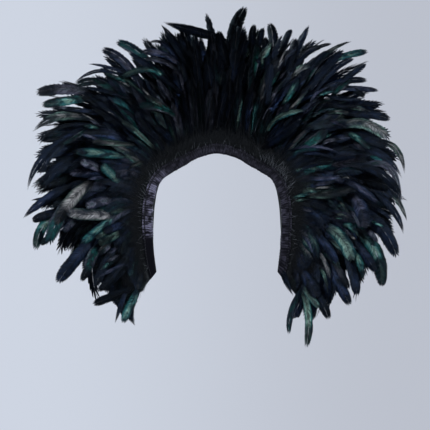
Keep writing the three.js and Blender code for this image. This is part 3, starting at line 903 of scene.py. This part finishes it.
# The longest and brightest feathers lie on top, between the rows. Each is put where it lies on the spread
# cape: where it comes out from under the others, its middle and its tip are given in the picture's own dots
# from its upper left corner, and its width in millimetres.
DOT = 0.00215
NAPE_DOT = (217, 152)
PICTURE_DOTS = 430
PICTURE_DISTANCE = PICTURE_DOTS * DOT * CAMERA_LENS / CAMERA_SENSOR
BRIGHT_FEATHERS = """
root_x root_y mid_x mid_y tip_x tip_y width hue strength kind
85 91 59 88.5 35 93 29 mauve 0.55 tail
80 99 60 101.5 41 105 20 teal 0.9 tail
112 72 93 72 74 83 9 ink 0.35 hackle
120 71 102 65.5 88 64 12 indigo 0.35 hackle
137 78 120 57.5 101 49 24 violet 0.3 tail
151 66 135 49.5 115.5 41 24 bottle 0.35 tail
172 84 150 66 128 51 20 ink 0.2 tail
110 88 93 81 75 86 20 bottle 0.35 tail
116 94 98 89 84 87 13 ink 0.2 tail
125 81 116 77 105 73 10 teal 0.9 tail
130 86 126 84 121 81 6 cream 0.9 tail
126 93 122 88 118 83 7 violet 0.6 hackle
212 36 187 29 163 22 22 ink 0.3 hackle
185 60 172 38 161 24.5 18 ink 0.3 hackle
200 64 196 48 194 34 17 ink 0.2 tail
226 62 222 45 219 30 19 ink 0.2 tail
196 60 186 45 178 32 17 ink 0.2 tail
180 65 163 43 145 45.5 10 indigo 0.35 hackle
178 62 160 53 140 52.5 16 violet 0.6 tail
176 68 160 60 143 59 14 mauve 0.35 tail
216 48 211 30 206 13 15 mauve 0.55 frayed
168 82 148 68.5 120 79 16 teal 0.8 tail
151 97 146 92 141 86 6 cream 1.0 hackle
140 87 138 82 135 77 5 violet 0.8 hackle
168 108 155 100 144 95 17 olive 0.5 tail
176 114 157 106 138 106 19 bottle 0.6 tail
158 113 154 112 151 112 3 jade 0.8 hackle
172 100 165 90 157 78 13 mauve 0.3 tail
153 147 137 132 121 120.5 14 jade 0.75 tail
75 112 66 108.5 57 107 8 mauve 0.8 hackle
96 113 74 109 50 108 13 indigo 0.35 tail
80 116 54 117.5 32.5 132 22 olive 0.5 hackle
85 124 55 129 39 146 9 ink 0.35 hackle
72 135 41 160 27.5 190.5 17 ink 0.35 hackle
66 140 50 157 39.5 176 13 ink 0.3 hackle
70 158 50 172 36 190 12 ink 0.3 hackle
72 165 56 173 44 190 14 ink 0.3 hackle
72 134 67 136 62 138 7 indigo 0.9 hackle
84 131 74 138 62 144 10 bottle 0.7 tail
97 127 90 126.5 83 126 9 teal 1.0 hackle
94 120 87 116 80 112.5 4 cream 1.0 hackle
114 114.5 110 112.5 106 111 3 cream 0.9 hackle
100 125 94 122 89 119.5 6 mauve 0.5 hackle
100 140 90 136.5 79 133 8 violet 0.7 hackle
128 144 108 142.5 91 142 12 olive 0.75 tail
120 155 98 153 75 151.5 18 teal 0.75 tail
141 162 134 165 128 171 9 olive 0.35 hackle
102 169 91 164.5 80 161 18 mauve 1.0 tail
119 181 109 171 101.5 164 20 teal 0.75 tail
102 174 95 173.5 88 174 6 indigo 1.0 hackle
103 177 95 178 87 179.5 8 violet 0.7 hackle
58 192 38 205 23 218.5 17 indigo 0.6 hackle
45 198 38 199 30.5 200.5 5 ink 0.3 hackle
56 212 43 216 31.5 221 17 indigo 0.3 tail
52 218 41 230 35.5 251 19 teal 0.9 tail
58 228 48 238 40 245 12 bottle 0.3 tail
86 186 70 202 55 226 24 cream 1.0 tail
76 197 60 216 47.5 246 26 bottle 0.5 tail
128 213 95 214.5 65.5 212 22 cream 0.9 tail
110 199 98 202 85 207 19 mauve 1.0 tail
112 218 97 231 81 244 17 teal 0.9 tail
125 224 113 228 103 232 17 indigo 0.8 tail
109 232 102 235 95 238 11 jade 0.9 tail
119 233 109 238.5 98 244 17 jade 1.0 tail
106 245 101 249 97 254 6 cream 0.8 hackle
97 248 91 259 88 272 19 bottle 0.85 tail
75 220 69 226 63 232 13 mauve 0.4 tail
87 246 71 265 57 283.5 26 indigo 0.35 tail
98 250 89 267 81 282 15 ink 0.3 tail
117 256 110 260 103 264 6 mauve 1.0 hackle
112 262 106 266 100 270 8 teal 1.0 hackle
116 248 111 252 105 256 8 violet 0.7 hackle
128 264 112 270 96 279 8 violet 0.6 hackle
142 285 115 296 92.5 304.5 18 ink 0.4 tail
122 272 110 282 97 291 15 ink 0.2 tail
125 294 120 308 115 323.5 11 indigo 0.6 hackle
142 283 132 303 122.5 323.5 18 teal 0.9 tail
233 50 235 27 246 6 27 ink 0.25 tail
252 50 252 38 254.5 23.5 16 ink 0.25 tail
268 72 266 52 265 36 17 ink 0.2 tail
258 47 260 37 262.5 27.5 15 ink 0.25 tail
272 62 273 40 269 22.5 21 ink 0.25 tail
281 52 286 38 290.5 29 17 ink 0.25 tail
292 58 302 38 309 25 21 ink 0.3 hackle
288 70 292 52 295 38 18 ink 0.2 tail
288 74 305 54 323 46 21 ink 0.2 tail
296 78 314 59 335 50 21 ink 0.2 tail
304 78 314 62 326 50 20 ink 0.2 tail
312 84 326 66 343 49 22 ink 0.25 tail
275 72 282 57 289 42 5 cream 1.0 hackle
253 75 256 56 257 43 15 bottle 0.6 tail
272 84 275 78 279 71 9 teal 0.9 tail
271 102 275 92 281 82 9 mauve 0.5 hackle
278 80 283 74 288 69 8 mauve 0.4 hackle
284 101 291 91 297.5 77 18 teal 1.0 tail
296 90 303 77 309 66 18 indigo 0.45 tail
306 80 316 64 328 52 19 bottle 0.5 tail
300 56 316 47.5 332 43.5 13 mauve 0.5 tail
322 56 338 46 351.5 41.5 15 olive 0.35 hackle
334 60 350 54 368.5 51.5 18 teal 0.55 tail
322 82 338 66 354 58 17 ink 0.3 tail
334 86 352 72.5 365.5 63 19 ink 0.3 tail
330 85 348 80 368 80.5 17 indigo 0.4 tail
335 92 343 85 350 79 16 bottle 0.5 tail
342 88 360 88 379 90.5 17 violet 0.4 tail
350 88 358 92 365 97 11 ink 0.3 tail
312 99 319 91 329 87 9 violet 0.9 hackle
318 95 327 92.5 336 91 7 teal 0.8 hackle
355 114 374 115 391 119.5 17 ink 0.3 tail
345 106 358 108 372 112.5 10 olive 0.4 hackle
334 97 350 99 365 97 12 ink 0.2 frayed
332 104 346 106 362 104 12 ink 0.2 frayed
330 112 340 111.5 350 113 10 olive 0.6 tail
264 136 278 117 303.5 110.5 18 jade 0.85 tail
268 142 283 131 302 117 34 indigo 0.3 tail
262 122 266 112 273 103 4 mauve 0.5 hackle
254 134 257 124 261 114 4 mauve 0.4 hackle
303 147 315 139 328 129 21 bottle 0.6 tail
297 148 320 147 344 156 7 violet 0.7 hackle
300 154 320 154 338 160 8 indigo 0.6 hackle
345 124 368 124 391 140 25 olive 0.55 tail
350 133 360 140 371 149 12 teal 0.8 tail
332 121 339 124 347 128 8 violet 0.9 hackle
324 137 328 135.5 332 134 7 teal 0.9 hackle
321 144 331 140 345 139.5 9 mauve 0.6 hackle
355 143 360 147 366 151.5 8 mauve 0.4 hackle
337 171 347 166 361 168 5 violet 0.6 hackle
312 178 326 178 340 176 11 violet 0.8 tail
315 184 325 183 336 180 9 violet 0.6 tail
316 188 325 187.5 334 186 5 cream 0.9 hackle
289 200.5 299 196 312 194.5 7 teal 0.9 hackle
291 203 299 200.5 309 199 5 jade 0.8 hackle
305 193 325 194 352 190 18 olive 0.3 tail
343 178 347 177.5 351 179 3 cream 0.8 hackle
302 209 308 210.5 313 212 5 mauve 0.5 hackle
341 203 345 208 349 215 4 olive 0.9 hackle
337 214.5 343 215 349 218 4 olive 0.9 hackle
336 218 340 218.5 345 219 3 teal 0.7 hackle
350 211 355 217 360 229 6 mauve 0.35 tail
355 197 362 212 364 229 26 violet 0.9 tail
350 183 364 191 378 203 12 violet 0.5 tail
345 226 351 227 358 236 12 teal 0.9 frayed
350 236 353 237.5 356 240 5 cream 0.8 hackle
318 236 328 248 338 264 16 indigo 0.5 tail
331 229 345 243 352 262 25 jade 0.8 tail
333 242 342 250 349 262 10 jade 0.45 tail
352 246 354 247 357 249 3 mauve 1.0 hackle
367 230 372 234 378 243 10 mauve 0.5 tail
368 214 386 234 397 258 26 ink 0.3 tail
370 221 378 224 386 228 6 teal 1.0 hackle
366 238 378 258 381 286 27 teal 0.55 tail
378 262 382 274 381 287 18 ink 0.3 tail
356 244 367 258 376 273 18 indigo 0.3 tail
354 250 360 264 364 279 14 teal 0.7 frayed
348 258 354 279 357 296 18 ink 0.35 tail
336 265 343 277 349 290 13 mauve 0.25 tail
330 268 341 288 350 306 20 indigo 0.5 tail
320 254 326 265 330 280 9 cream 0.4 tail
321 270 325 278 328 294 7 jade 0.9 hackle
333 258 337 263 341 271 10 jade 0.6 hackle
298 268 309 282 318 299 24 indigo 0.6 tail
304 288 311 298 320 309 13 jade 0.5 tail
312 290 322 304 329 320 18 ink 0.3 tail
305 298 308.5 322 306 348.5 16 jade 0.9 tail
299 294 290.5 314 289 335 12 bottle 0.3 tail
282 268 285 279 293 296 13 ink 0.15 hackle
385 142 399 153 404.5 174 13 olive 0.45 hackle
364 148 386 158 402 178 16 ink 0.3 hackle
360 166 384 176 401 197 16 ink 0.3 tail
350 134 370 140 390 146 16 ink 0.3 tail
370 164 393 172 401 212 14 mauve 0.35 hackle
395 196 402 208 407 221 9 olive 0.5 hackle
384 200 397 216 403.5 234 14 ink 0.35 hackle
378 210 386 214.5 394 222.5 7 ink 0.3 hackle
112 252 102 270 95 288 17 ink 0.25 tail
124 262 112 277 102 291 19 ink 0.3 tail
"""
HIDDEN_SHARE = 0.4
BRIGHT_FULLNESS = 1.2
BRIGHT_LIFT = 0.0028
NEAREST_ROOT = 0.036
BRIGHT_TWIST = 16
FAN_TOP = {
    "distance": (0.03, 0.10, 0.16, 0.2, 0.25, 0.34),
    "height": (0.006, 0.040, 0.060, 0.056, 0.044, 0.020),
}
RISE = {"along": (0, 0.45, 1), "share": (0.35, 1.02, 1.1)}

bright = [line.split() for line in BRIGHT_FEATHERS.strip().splitlines()]
column = {name: np.array([row[i] for row in bright[1:]]) for i, name in enumerate(bright[0])}


def picture_place(across, down):
    """Dots of the picture as metres in the picture's plane, where each dot is as wide as DOT."""
    return (across - NAPE_DOT[0]) * DOT, (NAPE_DOT[1] - down) * DOT


def seen_from_camera(points):
    """Where points stand in the picture's plane as the camera sees them."""
    nearer = PICTURE_DISTANCE / (points[..., 1] - CAMERA_PLACE[1])
    across = CAMERA_PLACE[0] + (points[..., 0] - CAMERA_PLACE[0]) * nearer
    return across, CAMERA_PLACE[2] + (points[..., 2] - CAMERA_PLACE[2]) * nearer


FAN_PLACES = np.arange(-11, 11.01, 0.06)
FAN_DISTANCES = np.arange(0.02, 0.4, 0.003)
fan_u, fan_distance = np.meshgrid(FAN_PLACES, FAN_DISTANCES, indexing="ij")
fan_top = point_at(fan_u, fan_distance, np.interp(fan_distance, FAN_TOP["distance"], FAN_TOP["height"]))
fan_x, fan_z = seen_from_camera(fan_top)


def place_on_fan(across, down):
    """The place on the cape's upper layer that is seen at a place of the picture: u and distance."""
    miss = (fan_x - across) ** 2 + (fan_z - down) ** 2
    nearest = np.unravel_index(np.argmin(miss), miss.shape)
    return fan_u[nearest], fan_distance[nearest]


root, middle, tip = (
    np.stack(picture_place(column[f"{part}_x"].astype(float), column[f"{part}_y"].astype(float)), -1)
    for part in ("root", "mid", "tip")
)
leaving = 4 * middle - 3 * root - tip
hidden = np.full(len(leaving), HIDDEN_SHARE)
for i in range(len(hidden)):
    while hidden[i] > 0:
        if place_on_fan(*(root[i] - leaving[i] * hidden[i]))[1] > NEAREST_ROOT:
            break
        hidden[i] -= 0.1
hidden = np.maximum(hidden, 0)
along = (-hidden[:, None] + (1 + hidden)[:, None] * np.linspace(0, 1, LINE_SAMPLES))[..., None]
root, middle, tip, leaving = (part[:, None] for part in (root, middle, tip, leaving))
curve = (root * (1 - 2 * along) + 4 * middle * along) * (1 - along) + tip * along * (2 * along - 1)
bright_x, bright_z = np.moveaxis(np.where(along < 0, root + leaving * along, curve), -1, 0)
share = np.linspace(0, 1, LINE_SAMPLES)
on_fan = np.array([[place_on_fan(x, z) for x, z in zip(*line)] for line in zip(bright_x, bright_z)])
rising = np.interp(share, RISE["along"], RISE["share"])
top = np.interp(on_fan[..., 1], FAN_TOP["distance"], FAN_TOP["height"]) * rising
top += BRIGHT_LIFT * column["strength"].astype(float)[:, None] * share
depth = point_at(on_fan[..., 0], on_fan[..., 1], top)[..., 1]
smooth_depth = np.array([np.polyval(np.polyfit(share, line, 3), share) for line in depth])
nearer = (smooth_depth - CAMERA_PLACE[1]) / PICTURE_DISTANCE
bright_x = CAMERA_PLACE[0] + (bright_x - CAMERA_PLACE[0]) * nearer
bright_z = CAMERA_PLACE[2] + (bright_z - CAMERA_PLACE[2]) * nearer
bright_lines = np.stack([bright_x, smooth_depth, bright_z], -1)
bright_faces = frame_at(on_fan[..., 0])[2]
parts = []
for kind_name, kind in MADE_KINDS.items():
    chosen = column["kind"] == kind_name
    number = np.arange(len(chosen))[chosen]
    half = column["width"].astype(float)[chosen] / 2 * MM * BRIGHT_FULLNESS
    twist = np.radians(BRIGHT_TWIST) * uneven(number, 71)
    cup_share = 0.8 + 0.3 * uneven(number, 72)
    line_places = (bright_lines[chosen], bright_faces[chosen])
    points, triangles, marks = lay_along(kind, *line_places, half, twist, cup_share)
    hue = np.array([HUES[hue_name]["place"] for hue_name in column["hue"][chosen]])
    strength = column["strength"].astype(float)[chosen]
    tints = tint_points(kind, marks, hue, strength, chance_at(number, 73))
    parts.append((points, triangles, marks, tints))
feather_piece("plumes_bright", parts)

# Small black down covers the strips beside the band, and fine hairs of it stand across the band. Each
# strand is a tapered barb, bound in at the strips with the feathers.
DOWN_COUNT = {1: 16000, -1: 4500}
DOWN_FROM = 0.0185
DOWN_TO = 0.074
DOWN_WIDTH = 0.0005
DOWN_LENGTH = 0.030
DOWN_UNEVEN = 0.013
DOWN_LAST = 9.6
DOWN_RINGS = np.linspace(0, 1, 5)
DOWN_TAPER = (1, 0.9, 0.7, 0.45, 0)
DOWN_CROWDING = 1.7
DOWN_SIDEWAYS = 0.75
DOWN_BEND = 0.5
DOWN_INWARD = 0.93
DOWN_BACK = -0.7
DOWN_RISE = {"usual": 0.32, "uneven": 0.22, "inward": 0.16}
DOWN_BED = {"height": 0.0015, "slope": 0.3, "from": 0.03}
DOWN_SHADES = ((0.0008, 0.0008, 0.0014, 1), (0.0050, 0.0052, 0.0085, 1))

down, tree, shader = new_material("black_down")
strand_place = xyz(tree, uv_place(tree, "strand"))
finish = {
    "Base Color": blend_colours(tree, product(tree, strand_place["Y"], strand_place["X"]), *DOWN_SHADES),
    "Roughness": ramp_to(tree, strand_place["Y"], 0.0, 1.0, 0.85, 0.6),
    "Specular IOR Level": 0.2,
}
set_inputs(tree, shader, finish)

strand_points, strand_faces, strand_uv = [], [], []
for face, count in DOWN_COUNT.items():
    number = np.arange(count)
    u = DOWN_LAST * uneven(number, 81)
    near = DOWN_FROM + (DOWN_TO - DOWN_FROM) * chance_at(number, 82) ** DOWN_CROWDING
    length = DOWN_LENGTH + DOWN_UNEVEN * uneven(number, 83)
    inward = uneven(number, 84) > DOWN_INWARD
    heading = np.where(inward, DOWN_BACK, 1.0) * (0.75 + 0.25 * uneven(number, 85))
    sideways = DOWN_SIDEWAYS * uneven(number, 86)
    share = DOWN_RINGS[None]
    bend = DOWN_BEND * uneven(number, 87)[:, None] * share**2
    place = u[:, None] + (sideways[:, None] * share + bend) * length[:, None] / STATION_LENGTH
    place = np.clip(place, -LAST_STATION, LAST_STATION)
    distance = near[:, None] + heading[:, None] * length[:, None] * share
    rise = DOWN_RISE["usual"] + DOWN_RISE["uneven"] * uneven(number, 88) + inward * DOWN_RISE["inward"]
    bed = DOWN_BED["height"] + DOWN_BED["slope"] * np.maximum(near - DOWN_BED["from"], 0)
    raised = bed[:, None] + (length * rise)[:, None] * share
    lines = point_at(place, distance, face * raised)
    across = unit(np.cross(np.gradient(lines, axis=1), face * frame_at(place)[2]))
    wide = (DOWN_WIDTH * (0.75 + 0.25 * uneven(number, 89)))[:, None] * np.array(DOWN_TAPER)[None]
    left, right = lines - across * wide[..., None] / 2, lines + across * wide[..., None] / 2
    strand = np.concatenate([left, right[:, :-1]], axis=1)
    first = sum(len(points) for points in strand_points) + number[:, None] * strand.shape[1]
    for step in range(3):
        strand_faces += (first + np.array([step, step + 5, step + 6, step + 1])).tolist()
    strand_faces += (first + np.array([3, 8, 4])).tolist()
    chance = np.broadcast_to(chance_at(number, 90)[:, None], strand.shape[:2])
    along = np.broadcast_to(np.concatenate([DOWN_RINGS, DOWN_RINGS[:-1]])[None], strand.shape[:2])
    strand_points.append(strand.reshape(-1, 3))
    strand_uv.append(np.stack([chance, along], -1).reshape(-1, 2))
fluff = mesh_piece("down", np.concatenate(strand_points), strand_faces)
map_surface(fluff, "strand", np.concatenate(strand_uv))
dress(fluff, down, "feather")

# The ends of quills stand bare between the band and the down, where the strip nearest the band binds them.
# They are thin horn, dark with pale grey spots that are a painted glint, and most show over the shoulders,
# where the strip turns most.
BARE_QUILLS = {
    "right_shoulder": {"first": 2.6, "last": 5.4, "count": 46, "length": 0.0165},
    "left_shoulder": {"first": -6.6, "last": -3.4, "count": 16, "length": 0.0110},
    "all_round": {"first": -9.6, "last": 9.6, "count": 70, "length": 0.0085},
}
BARE_FROM = 0.0180
BARE_UNEVEN = 0.0035
BARE_HEIGHT = 0.0028
BARE_SHORTER = 0.45
BARE_ASIDE = 0.8
BARE_BEND = 0.8
BARE_HALF = 0.0046
HORN_AND_GLINT_SHADES = ((0.040, 0.040, 0.050, 1), (0.300, 0.300, 0.340, 1))

horn, tree, shader = new_material("quill_horn")
horn_glint_spots = noise(tree, object_place(tree), 240.0, 2.0)
# The colour runs in spots from dark horn to a pale grey painted glint.
finish = {
    "Base Color": blend_colours(tree, horn_glint_spots, *HORN_AND_GLINT_SHADES),
    "Roughness": ramp_to(tree, horn_glint_spots, 0.3, 0.7, 0.5, 0.3),
}
set_inputs(tree, shader, finish)

bare_lines, bare_faces = [], []
for purpose, fan in enumerate(BARE_QUILLS.values()):
    number = np.arange(fan["count"])
    share = np.linspace(0, 1, 6)[None]
    length = (fan["length"] * (1 + BARE_SHORTER * uneven(number, 101 + purpose)))[:, None]
    turn = (number + 0.5 * uneven(number, 104 + purpose)) / fan["count"]
    u = fan["first"] + (fan["last"] - fan["first"]) * turn
    aside = BARE_ASIDE * uneven(number, 107 + purpose)[:, None] * share * length / STATION_LENGTH
    near = (BARE_FROM + BARE_UNEVEN * (1 + uneven(number, 110 + purpose)))[:, None]
    rise = (0.75 + 0.25 * uneven(number, 113 + purpose))[:, None]
    place = u[:, None] + aside
    height = BARE_HEIGHT + length * rise * share**BARE_BEND
    bare_lines.append(point_at(place, near + length * share, height))
    bare_faces.append(frame_at(place)[2])
quill_shape = (QUILL_POINTS * (QUILL_WIDTH, 1, QUILL_WIDTH), QUILL_TRIANGLES, QUILL_POINTS)
lay_piece("quill_ends", quill_shape, bare_lines, bare_faces, BARE_HALF, horn, "feather")

# The band and the strips are sewn down with black polyester thread, in short straight stitches that dip
# into the cloth at both ends. The elastic loops are sewn on with a small square of stitches at each end.
STITCH_LENGTH = 0.0032
STITCH_PITCH = 0.0044
STITCH_HALF = 0.00042
STITCH_DIP = 0.0005
STITCH_RINGS = (0.2, 0.5, 0.8)
STITCH_END = 0.55
BAND_STITCH_HEIGHT = 0.0036
BAND_STITCH_END = 0.06
STRIP_STITCH_LIFT = 0.0003
STRIP_STITCH_PITCH = 0.0066
TACKS = (-0.007, 0.0, 0.007)
TACK_REACH = 0.007
TACK_PITCH = 0.0036
TACK_LIFT = 0.0009
THREAD_SHADES = ((0.006, 0.006, 0.008, 1), (0.040, 0.038, 0.046, 1))

stitch = begin_shape(bpy.ops.mesh.primitive_cylinder_add, vertices=5, radius=1, depth=1)
split_at(STITCH_RINGS)
for end in (0, 1):
    select_where(stitch, lambda place: abs(place.y - end) < NEAR)
    bpy.ops.transform.resize(value=(STITCH_END, 1, STITCH_END))
STITCH_POINTS, STITCH_TRIANGLES = take_shape(stitch)

thread, tree, shader = new_material("black_thread")
ply = {"Vector": uv_place(tree, "thread"), "Scale": 2.4, "Distortion": 0.6}
twisted = add_node(tree, "TexWave", ply, bands_direction="DIAGONAL").outputs["Fac"]
finish = {
    "Base Color": blend_colours(tree, twisted, *THREAD_SHADES),
    "Roughness": 0.5,
    "Normal": bump(tree, twisted, 0.5, 0.0002),
}
set_inputs(tree, shader, finish)


def stitch_row(first, last, distance, height, face, pitch):
    """The lines of stitches along the cape, at a distance from its edge and a height over the base."""
    count = round(abs(last - first) * STATION_LENGTH / pitch)
    u = first + (last - first) * (np.arange(count) + 0.5) / count
    share = np.linspace(0, 1, 5)[None]
    place = u[:, None] + (share - 0.5) * STITCH_LENGTH / STATION_LENGTH
    dip = STITCH_DIP * np.abs(2 * share - 1) ** 3
    lines = point_at(place, np.broadcast_to(distance, place.shape), face * (height - dip))
    return lines, face * frame_at(place)[2]


def sew(name, rows):
    """One object of all the stitches of some rows."""
    shape = (STITCH_POINTS, STITCH_TRIANGLES, STITCH_POINTS)
    sewn, marks = lay_piece(name, shape, *zip(*rows), STITCH_HALF, thread, "satin")
    map_surface(sewn, "thread", marks[:, :2])


band_rows = []
for face in (1, -1):
    for first, last in PANELS.values():
        ends = (first + BAND_STITCH_END, last - BAND_STITCH_END)
        band_rows.append(stitch_row(*ends, STITCH_DISTANCE, BAND_STITCH_HEIGHT, face, STITCH_PITCH))
sew("band_stitches", band_rows)

strip_rows = []
for row in ROWS.values():
    place = (row["root"] * MM, STRIP_TO + STRIP_STITCH_LIFT, row["face"])
    strip_rows.append(stitch_row(-row["end"], row["end"], *place, STRIP_STITCH_PITCH))
sew("strip_stitches", strip_rows)

tacks = []
for side in (-1, 1):
    for end in LOOP_ENDS:
        for distance in TACKS:
            first, last = side * end - TACK_REACH / STATION_LENGTH, side * end + TACK_REACH / STATION_LENGTH
            place = (LOOP_DISTANCE + distance, TACK_LIFT - LOOP_HEIGHT, -1)
            tacks.append(stitch_row(first, last, *place, TACK_PITCH))
sew("loop_stitches", tacks)

# The room is a studio with a pale, cool backdrop and a pale floor below the cape. Large soft lights stand
# to both sides and above.
FLOOR_HEIGHT = -1.36
FLOOR_RADIUS = 3.0
FLOOR_SHADES = ((0.47, 0.49, 0.54, 1), (0.52, 0.54, 0.59, 1))
# The backdrop seen by the camera is lighter on the left than on the right: painted light, as if the lamps lit
# its left side more.
ROOM_LEFT = (0.617, 0.665, 0.761, 1)
ROOM_RIGHT = (0.500, 0.530, 0.605, 1)
ROOM_LIGHT = (0.012, 0.017, 0.028, 1)
LAMP_COLOUR = (0.80, 0.92, 1.0)
VIEW_HALF_ANGLE = 0.15
LIGHTS = {
    "left_window": {"place": (-2.2, -2.4, 1.5), "size": 1.0, "power": 112},
    "right_window": {"place": (2.4, -1.9, 0.9), "size": 1.0, "power": 76},
    "top_panel": {"place": (0.0, -0.6, 2.4), "size": 1.4, "power": 7},
    "back_left": {"place": (-1.6, 1.8, 1.2), "size": 1.2, "power": 34},
    "back_right": {"place": (1.8, 1.6, 0.8), "size": 1.2, "power": 34},
}
LIGHTS_AIM = (0, 0, -0.05)

floor_material, tree, shader = new_material("pale_floor")
floor_spots = noise(tree, object_place(tree), 3.0, 4.0)
finish = {
    "Base Color": blend_colours(tree, floor_spots, *FLOOR_SHADES),
    "Roughness": ramp_to(tree, floor_spots, 0.3, 0.7, 0.55, 0.75),
}
set_inputs(tree, shader, finish)
bpy.ops.object.select_all(action="DESELECT")
bpy.ops.mesh.primitive_circle_add(
    vertices=96, radius=FLOOR_RADIUS, fill_type="NGON", location=(0, 0, FLOOR_HEIGHT)
)
floor = bpy.context.object
floor.name = "floor"
bpy.ops.object.transform_apply(location=True)
floor.data.materials.append(floor_material)

room = bpy.data.worlds.new("studio")
room.use_nodes = True
bpy.context.scene.world = room
tree = room.node_tree
direction = xyz(tree, add_node(tree, "TexCoord", {}).outputs["Generated"])
side_share = ramp_to(tree, direction["X"], -VIEW_HALF_ANGLE, VIEW_HALF_ANGLE)
backdrop = blend_colours(tree, side_share, ROOM_LEFT, ROOM_RIGHT)
lit = blend_colours(tree, add_node(tree, "LightPath", {}).outputs["Is Camera Ray"], ROOM_LIGHT, backdrop)
set_inputs(tree, tree.nodes["Background"], {"Color": lit, "Strength": 1.0})

for name, light in LIGHTS.items():
    lamp = bpy.data.lights.new(name, "AREA")
    lamp.size = light["size"]
    lamp.energy = light["power"]
    lamp.color = LAMP_COLOUR
    holder = bpy.data.objects.new(name, lamp)
    holder.location = light["place"]
    aim = mathutils.Vector(LIGHTS_AIM) - holder.location
    holder.rotation_euler = aim.to_track_quat("-Z", "Y").to_euler()
    holder.visible_camera = False
    bpy.context.scene.collection.objects.link(holder)
bpy.context.scene.view_settings.view_transform = "Standard"
